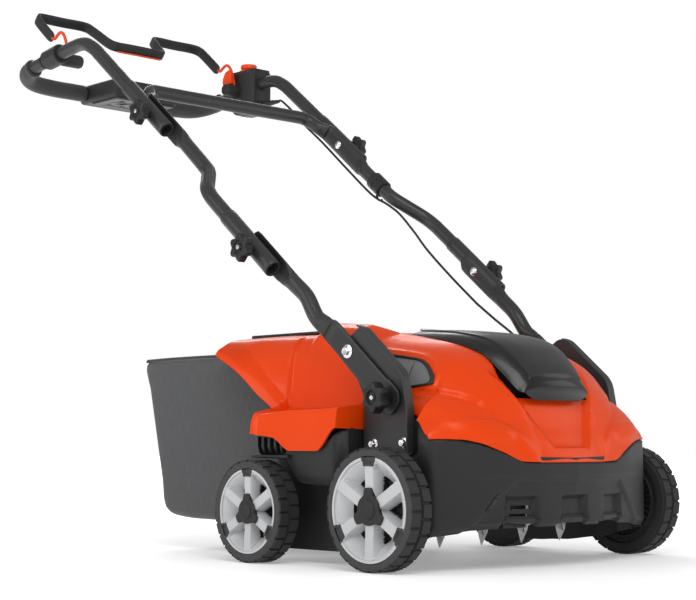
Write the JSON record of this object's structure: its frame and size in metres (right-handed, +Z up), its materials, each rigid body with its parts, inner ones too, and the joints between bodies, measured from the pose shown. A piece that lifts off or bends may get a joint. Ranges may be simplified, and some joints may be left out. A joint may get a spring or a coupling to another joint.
{
  "type": "battery lawn scarifier",
  "caption": "Battery lawn scarifier with a toothed reel, folding tube handle, start bail and rear fabric bag",
  "frame": {"origin": "on the ground under the middle of the machine's outline", "axes": "+Z up, +Y towards the handle and bag, +X to the user's right hand seen from the front (the machine's left side walking behind it)"},
  "size_m": [0.6266, 1.2194, 1.0319],
  "materials": {
    "orange_plastic": "gloss",
    "grey_plastic": "satin",
    "smoked_lid": "satin",
    "coated_steel": "satin",
    "zinc_steel": "satin",
    "cast_alloy": "matte",
    "tyre_rubber": "matte",
    "grip_rubber": "matte",
    "silver_plastic": "satin",
    "black_plastic": "satin",
    "battery_case": "matte",
    "bag_fabric": "matte",
    "cable_jacket": "satin"
  },
  "bodies": {
    "chassis": {"deck_shell": "grey_plastic", "hood": "orange_plastic", "front_axle_left": "zinc_steel", "front_axle_right": "zinc_steel", "rear_axle": "zinc_steel", "bearing_left": "cast_alloy", "bearing_right": "cast_alloy", "motor": "cast_alloy", "handle_bracket_left": "coated_steel", "handle_bracket_right": "coated_steel", "drive_belt": "grip_rubber", "flap_pin": "zinc_steel", "lid_pin": "zinc_steel", "battery_pack": "battery_case", "cable_lower": "cable_jacket"},
    "wheel_front_left": {"tyre_front_left": "tyre_rubber", "rim_front_left": "silver_plastic"},
    "wheel_front_right": {"tyre_front_right": "tyre_rubber", "rim_front_right": "silver_plastic"},
    "wheel_rear_left": {"tyre_rear_left": "tyre_rubber", "rim_rear_left": "silver_plastic"},
    "wheel_rear_right": {"tyre_rear_right": "tyre_rubber", "rim_rear_right": "silver_plastic"},
    "reel": {"reel_shaft": "zinc_steel", "reel_pulley": "cast_alloy", "blade_1": "zinc_steel", "blade_2": "zinc_steel", "blade_3": "zinc_steel", "blade_4": "zinc_steel", "blade_5": "zinc_steel", "blade_6": "zinc_steel", "blade_7": "zinc_steel", "blade_8": "zinc_steel", "blade_9": "zinc_steel"},
    "motor_rotor": {"motor_pulley": "cast_alloy"},
    "lid": {"battery_lid": "smoked_lid"},
    "flap": {"rear_flap": "grey_plastic"},
    "grass_bag": {"bag": "bag_fabric", "bag_frame": "grey_plastic"},
    "lower_handle": {"lower_tube_left": "coated_steel", "lower_tube_right": "coated_steel"},
    "middle_handle": {"mid_handle": "coated_steel", "cable_clip": "black_plastic", "cable_middle": "cable_jacket", "cable_upper": "cable_jacket"},
    "top_handle": {"upper_handle": "coated_steel", "grip_left": "grip_rubber", "grip_right": "grip_rubber", "console": "grey_plastic", "switch_box": "grey_plastic", "bail_collar": "grey_plastic"},
    "start_bail": {"bail": "grey_plastic"},
    "button": {"start_button": "orange_plastic"},
    "lever": {"lock_lever": "orange_plastic"},
    "knob_tilt_left": {"knob_tilt_left": "black_plastic"},
    "knob_tilt_right": {"knob_tilt_right": "black_plastic"},
    "knob_lower_left": {"knob_lower_left": "black_plastic"},
    "knob_lower_right": {"knob_lower_right": "black_plastic"},
    "knob_upper_left": {"knob_upper_left": "black_plastic"},
    "knob_upper_right": {"knob_upper_right": "black_plastic"}
  },
  "joints": [
    {"name": "wheel_front_left_spin", "type": "hinge", "parent": "chassis", "child": "wheel_front_left", "pos_m": [0.2923, -0.48125, 0.089], "axis": [1, 0, 0], "continuous": true},
    {"name": "wheel_front_right_spin", "type": "hinge", "parent": "chassis", "child": "wheel_front_right", "pos_m": [-0.2923, -0.48125, 0.089], "axis": [1, 0, 0], "continuous": true},
    {"name": "wheel_rear_left_spin", "type": "hinge", "parent": "chassis", "child": "wheel_rear_left", "pos_m": [0.2923, -0.21155, 0.079], "axis": [1, 0, 0], "continuous": true},
    {"name": "wheel_rear_right_spin", "type": "hinge", "parent": "chassis", "child": "wheel_rear_right", "pos_m": [-0.2923, -0.21155, 0.079], "axis": [1, 0, 0], "continuous": true},
    {"name": "reel_spin", "type": "hinge", "parent": "chassis", "child": "reel", "pos_m": [0, -0.41425, 0.09], "axis": [1, 0, 0], "continuous": true},
    {"name": "motor_spin", "type": "hinge", "parent": "chassis", "child": "motor_rotor", "pos_m": [0.2165, -0.45125, 0.2095], "axis": [1, 0, 0], "continuous": true},
    {"name": "lid_hinge", "type": "hinge", "parent": "chassis", "child": "lid", "pos_m": [0, -0.35675, 0.3625], "axis": [-1, 0, 0], "range_deg": [0, 75]},
    {"name": "flap_hinge", "type": "hinge", "parent": "chassis", "child": "flap", "pos_m": [0, -0.21725, 0.366], "axis": [1, 0, 0], "range_deg": [0, 80]},
    {"name": "bag_slide", "type": "slide", "parent": "chassis", "child": "grass_bag", "axis": [0, 1, 0], "range_m": [0, 0.35]},
    {"name": "handle_tilt", "type": "hinge", "parent": "chassis", "child": "lower_handle", "pos_m": [0, -0.36325, 0.322], "axis": [1, 0, 0], "range_deg": [-1.5, 12], "deforming": ["cable_lower"]},
    {"name": "middle_fold", "type": "hinge", "parent": "lower_handle", "child": "middle_handle", "pos_m": [0, -0.17625, 0.492], "axis": [1, 0, 0], "range_deg": [0, 135], "deforming": ["cable_middle"]},
    {"name": "upper_fold", "type": "hinge", "parent": "middle_handle", "child": "top_handle", "pos_m": [0, 0.14775, 0.762], "axis": [1, 0, 0], "range_deg": [-85, 0], "deforming": ["cable_upper"]},
    {"name": "bail_squeeze", "type": "hinge", "parent": "top_handle", "child": "start_bail", "pos_m": [0, 0.45875, 0.9155], "axis": [1, 0, 0], "range_deg": [-33, 0], "stiffness_Nm_per_rad": 0.8, "springref_deg": 34.38},
    {"name": "button_press", "type": "slide", "parent": "top_handle", "child": "button", "axis": [0, 0, -1], "range_m": [0, 0.004], "stiffness_N_per_m": 300, "springref_m": -0.002},
    {"name": "lever_lock", "type": "hinge", "parent": "top_handle", "child": "lever", "pos_m": [0.1965, 0.46975, 0.934], "axis": [1, 0, 0], "range_deg": [-15, 0], "stiffness_Nm_per_rad": 0.05, "springref_deg": 5.73},
    {"name": "knob_tilt_left_turn", "type": "hinge", "parent": "lower_handle", "child": "knob_tilt_left", "pos_m": [0.258, -0.44725, 0.25], "axis": [1, 0, 0], "range_deg": [-180, 180]},
    {"name": "knob_tilt_right_turn", "type": "hinge", "parent": "lower_handle", "child": "knob_tilt_right", "pos_m": [-0.258, -0.44725, 0.25], "axis": [1, 0, 0], "range_deg": [-180, 180]},
    {"name": "knob_lower_left_turn", "type": "hinge", "parent": "middle_handle", "child": "knob_lower_left", "pos_m": [0.293, -0.17625, 0.492], "axis": [1, 0, 0], "range_deg": [-180, 180]},
    {"name": "knob_lower_right_turn", "type": "hinge", "parent": "middle_handle", "child": "knob_lower_right", "pos_m": [-0.293, -0.17625, 0.492], "axis": [1, 0, 0], "range_deg": [-180, 180]},
    {"name": "knob_upper_left_turn", "type": "hinge", "parent": "top_handle", "child": "knob_upper_left", "pos_m": [0.26, 0.14775, 0.762], "axis": [1, 0, 0], "range_deg": [-180, 180]},
    {"name": "knob_upper_right_turn", "type": "hinge", "parent": "top_handle", "child": "knob_upper_right", "pos_m": [-0.26, 0.14775, 0.762], "axis": [1, 0, 0], "range_deg": [-180, 180]}
  ],
  "couplings": [
    {"joint": "motor_spin", "follows": "reel_spin", "ratio": 1.6667}
  ]
}
